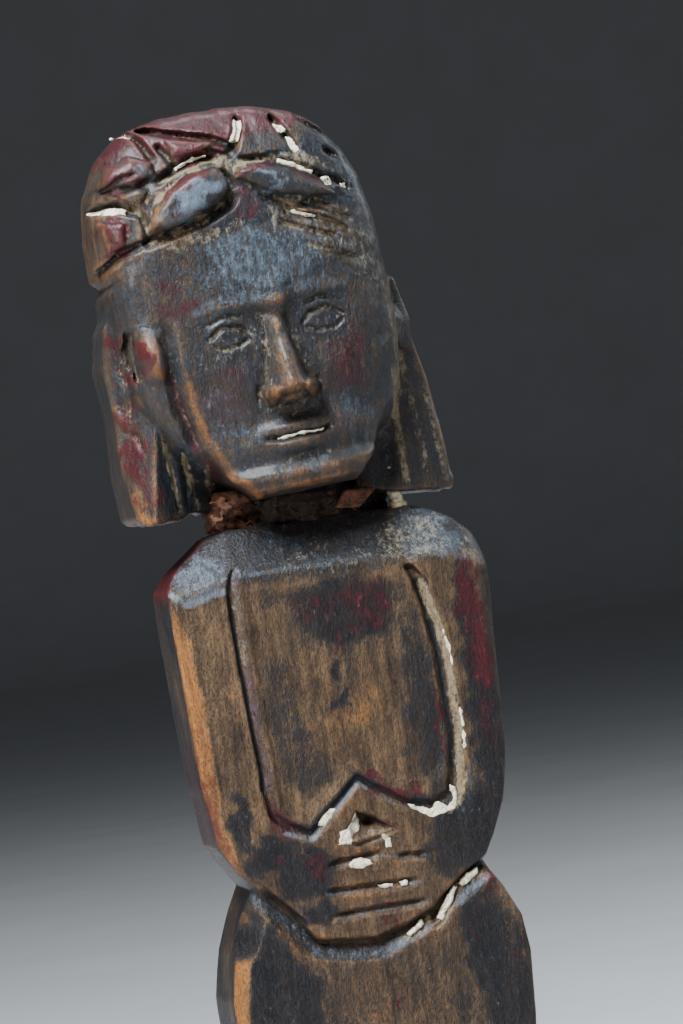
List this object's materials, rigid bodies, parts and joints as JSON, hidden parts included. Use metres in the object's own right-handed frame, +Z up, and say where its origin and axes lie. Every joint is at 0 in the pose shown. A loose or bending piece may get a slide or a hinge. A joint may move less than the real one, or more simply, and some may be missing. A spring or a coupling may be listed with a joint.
{
  "type": "carved ancestor figure",
  "caption": "Small painted wooden figure that stands on a low plinth, hands folded on the belly, with a capped head and hanging ear lappets.",
  "frame": {"origin": "middle of the plinth's underside", "axes": "+Z up along the figure's height, -Y the way the figure looks, +X to the figure's left hand"},
  "size_m": [0.032, 0.024, 0.1205],
  "materials": {
    "carved_wood_body": "carved hardwood with rubbed blue-black and dark red paint, satin on the worn edges",
    "carved_wood_head": "carved hardwood, more painted than the body, glossy on the high edges",
    "dowel_wood": "bare turned wood",
    "brown_filler": "rough, fibrous sawdust and glue",
    "dried_glue": "dried glossy glue",
    "lime_paste": "chalky white lime paste, cracked and dirty at its edges"
  },
  "bodies": {
    "root": {"body_carving": "carved_wood_body", "head_carving": "carved_wood_head", "neck_dowel": "dowel_wood", "neck_filler": "brown_filler", "neck_glue_run": "dried_glue", "lime_cap_above_knot": "lime_paste", "lime_cap_left_bar": "lime_paste", "lime_cap_left_top": "lime_paste", "lime_cap_right_edge": "lime_paste", "lime_cap_right_long": "lime_paste", "lime_cap_right_low": "lime_paste", "lime_cap_right_middle": "lime_paste", "lime_cap_right_outer": "lime_paste", "lime_cap_right_upper": "lime_paste", "lime_cap_top_bar": "lime_paste", "lime_finger_1": "lime_paste", "lime_finger_2_inner": "lime_paste", "lime_finger_2_outer": "lime_paste", "lime_hand_border": "lime_paste", "lime_hand_border_upper": "lime_paste", "lime_left_forearm": "lime_paste", "lime_mouth_line": "lime_paste", "lime_right_arm_lower": "lime_paste", "lime_right_arm_upper": "lime_paste", "lime_right_elbow": "lime_paste", "lime_thumb_left": "lime_paste", "lime_thumb_right": "lime_paste", "lime_waist_notch": "lime_paste"}
  },
  "joints": []
}
